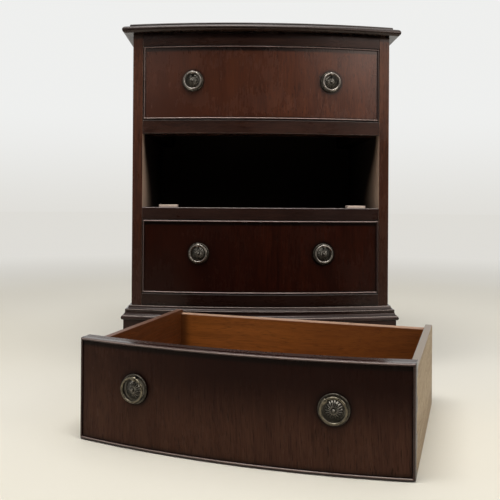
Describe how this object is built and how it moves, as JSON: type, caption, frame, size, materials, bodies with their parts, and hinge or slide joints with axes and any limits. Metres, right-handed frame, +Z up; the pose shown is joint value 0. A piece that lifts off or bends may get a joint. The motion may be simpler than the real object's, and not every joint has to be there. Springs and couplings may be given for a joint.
{
  "type": "bow-front chest of drawers",
  "caption": "Small bow-fronted chest of drawers with cockbeaded fronts, hanging ring pulls, a moulded top and bracket feet, its middle drawer standing out in front.",
  "frame": {"origin": "on the floor, under the middle of the whole layout of the chest and its drawer that stands in front", "axes": "+Z up, -Y towards the chest's front, +X to the right as seen from the front"},
  "size_m": [0.5033, 0.8208, 0.6195],
  "materials": {
    "top_wood": "dark mahogany, polished",
    "carcase_wood": "dark mahogany, polished",
    "rail_wood": "dark mahogany, polished",
    "moulding_wood": "dark mahogany, polished",
    "front_wood": "figured red mahogany veneer, semi-gloss",
    "bead_wood": "near-black polished bead",
    "drawer_wood": "orange-brown drawer lining, satin",
    "secondary_wood": "stained softwood, dull",
    "raw_wood": "bare wood, matte",
    "antique_brass": "darkened antique brass",
    "steel": "dull zinc"
  },
  "bodies": {
    "carcase": {"top_board": "top_wood", "top_edge_front": "top_wood", "top_edge_left": "top_wood", "top_edge_right": "top_wood", "left_side": "carcase_wood", "right_side": "carcase_wood", "back_panel": "secondary_wood", "base_board": "secondary_wood", "frieze_rail": "rail_wood", "upper_divider": "rail_wood", "lower_divider": "rail_wood", "bottom_rail": "rail_wood", "top_kickers": "secondary_wood", "upper_runners": "secondary_wood", "middle_runners": "secondary_wood", "lower_runners": "secondary_wood", "drawer_stops": "raw_wood", "base_moulding_front": "moulding_wood", "base_moulding_left": "moulding_wood", "base_moulding_right": "moulding_wood", "foot_front_left": "moulding_wood", "foot_front_right": "moulding_wood", "foot_rear_left": "moulding_wood", "foot_rear_right": "moulding_wood", "foot_glue_blocks": "raw_wood", "back_screws": "steel"},
    "upper_drawer": {"upper_drawer_front": "front_wood", "upper_cockbead": "bead_wood", "upper_drawer_left_side": "drawer_wood", "upper_drawer_right_side": "drawer_wood", "upper_drawer_back": "drawer_wood", "upper_drawer_bottom": "drawer_wood", "upper_left_pull_plate": "antique_brass", "upper_right_pull_plate": "antique_brass", "upper_pull_nuts": "steel"},
    "upper_left_ring": {"upper_left_pull_ring": "antique_brass"},
    "upper_right_ring": {"upper_right_pull_ring": "antique_brass"},
    "middle_drawer": {"middle_drawer_front": "front_wood", "middle_cockbead": "bead_wood", "middle_drawer_left_side": "drawer_wood", "middle_drawer_right_side": "drawer_wood", "middle_drawer_back": "drawer_wood", "middle_drawer_bottom": "drawer_wood", "middle_left_pull_plate": "antique_brass", "middle_right_pull_plate": "antique_brass", "middle_pull_nuts": "steel"},
    "middle_left_ring": {"middle_left_pull_ring": "antique_brass"},
    "middle_right_ring": {"middle_right_pull_ring": "antique_brass"},
    "lower_drawer": {"lower_drawer_front": "front_wood", "lower_cockbead": "bead_wood", "lower_drawer_left_side": "drawer_wood", "lower_drawer_right_side": "drawer_wood", "lower_drawer_back": "drawer_wood", "lower_drawer_bottom": "drawer_wood", "lower_left_pull_plate": "antique_brass", "lower_right_pull_plate": "antique_brass", "lower_pull_nuts": "steel"},
    "lower_left_ring": {"lower_left_pull_ring": "antique_brass"},
    "lower_right_ring": {"lower_right_pull_ring": "antique_brass"}
  },
  "joints": [
    {"name": "upper_drawer_slide", "type": "slide", "parent": "carcase", "child": "upper_drawer", "axis": [0, -1, 0], "range_m": [0, 0.24]},
    {"name": "upper_left_ring_hinge", "type": "hinge", "parent": "upper_drawer", "child": "upper_left_ring", "pos_m": [-0.1259, 0.04601, 0.53157], "axis": [-0.9938, 0.1109, 0], "range_deg": [0, 100]},
    {"name": "upper_right_ring_hinge", "type": "hinge", "parent": "upper_drawer", "child": "upper_right_ring", "pos_m": [0.11965, 0.04601, 0.53157], "axis": [-0.9938, -0.1109, 0], "range_deg": [0, 100]},
    {"name": "middle_drawer_slide", "type": "slide", "parent": "carcase", "child": "middle_drawer", "axis": [-0.3322, -0.9432, 0], "range_m": [0, 0.24]},
    {"name": "middle_left_ring_hinge", "type": "hinge", "parent": "middle_drawer", "child": "middle_left_ring", "pos_m": [-0.17253, -0.31651, 0.08896], "axis": [-0.8791, 0.4288, 0.2079], "range_deg": [0, 100]},
    {"name": "middle_right_ring_hinge", "type": "hinge", "parent": "middle_drawer", "child": "middle_right_ring", "pos_m": [0.05086, -0.39653, 0.08526], "axis": [-0.7008, 0.1622, -0.6947], "range_deg": [0, 100]},
    {"name": "lower_drawer_slide", "type": "slide", "parent": "carcase", "child": "lower_drawer", "axis": [0, -1, 0], "range_m": [0, 0.24]},
    {"name": "lower_left_ring_hinge", "type": "hinge", "parent": "lower_drawer", "child": "lower_left_ring", "pos_m": [-0.11382, 0.04473, 0.22757], "axis": [-0.995, 0.1, 0], "range_deg": [0, 100]},
    {"name": "lower_right_ring_hinge", "type": "hinge", "parent": "lower_drawer", "child": "lower_right_ring", "pos_m": [0.10758, 0.04473, 0.22757], "axis": [-0.995, -0.1, 0], "range_deg": [0, 100]}
  ]
}
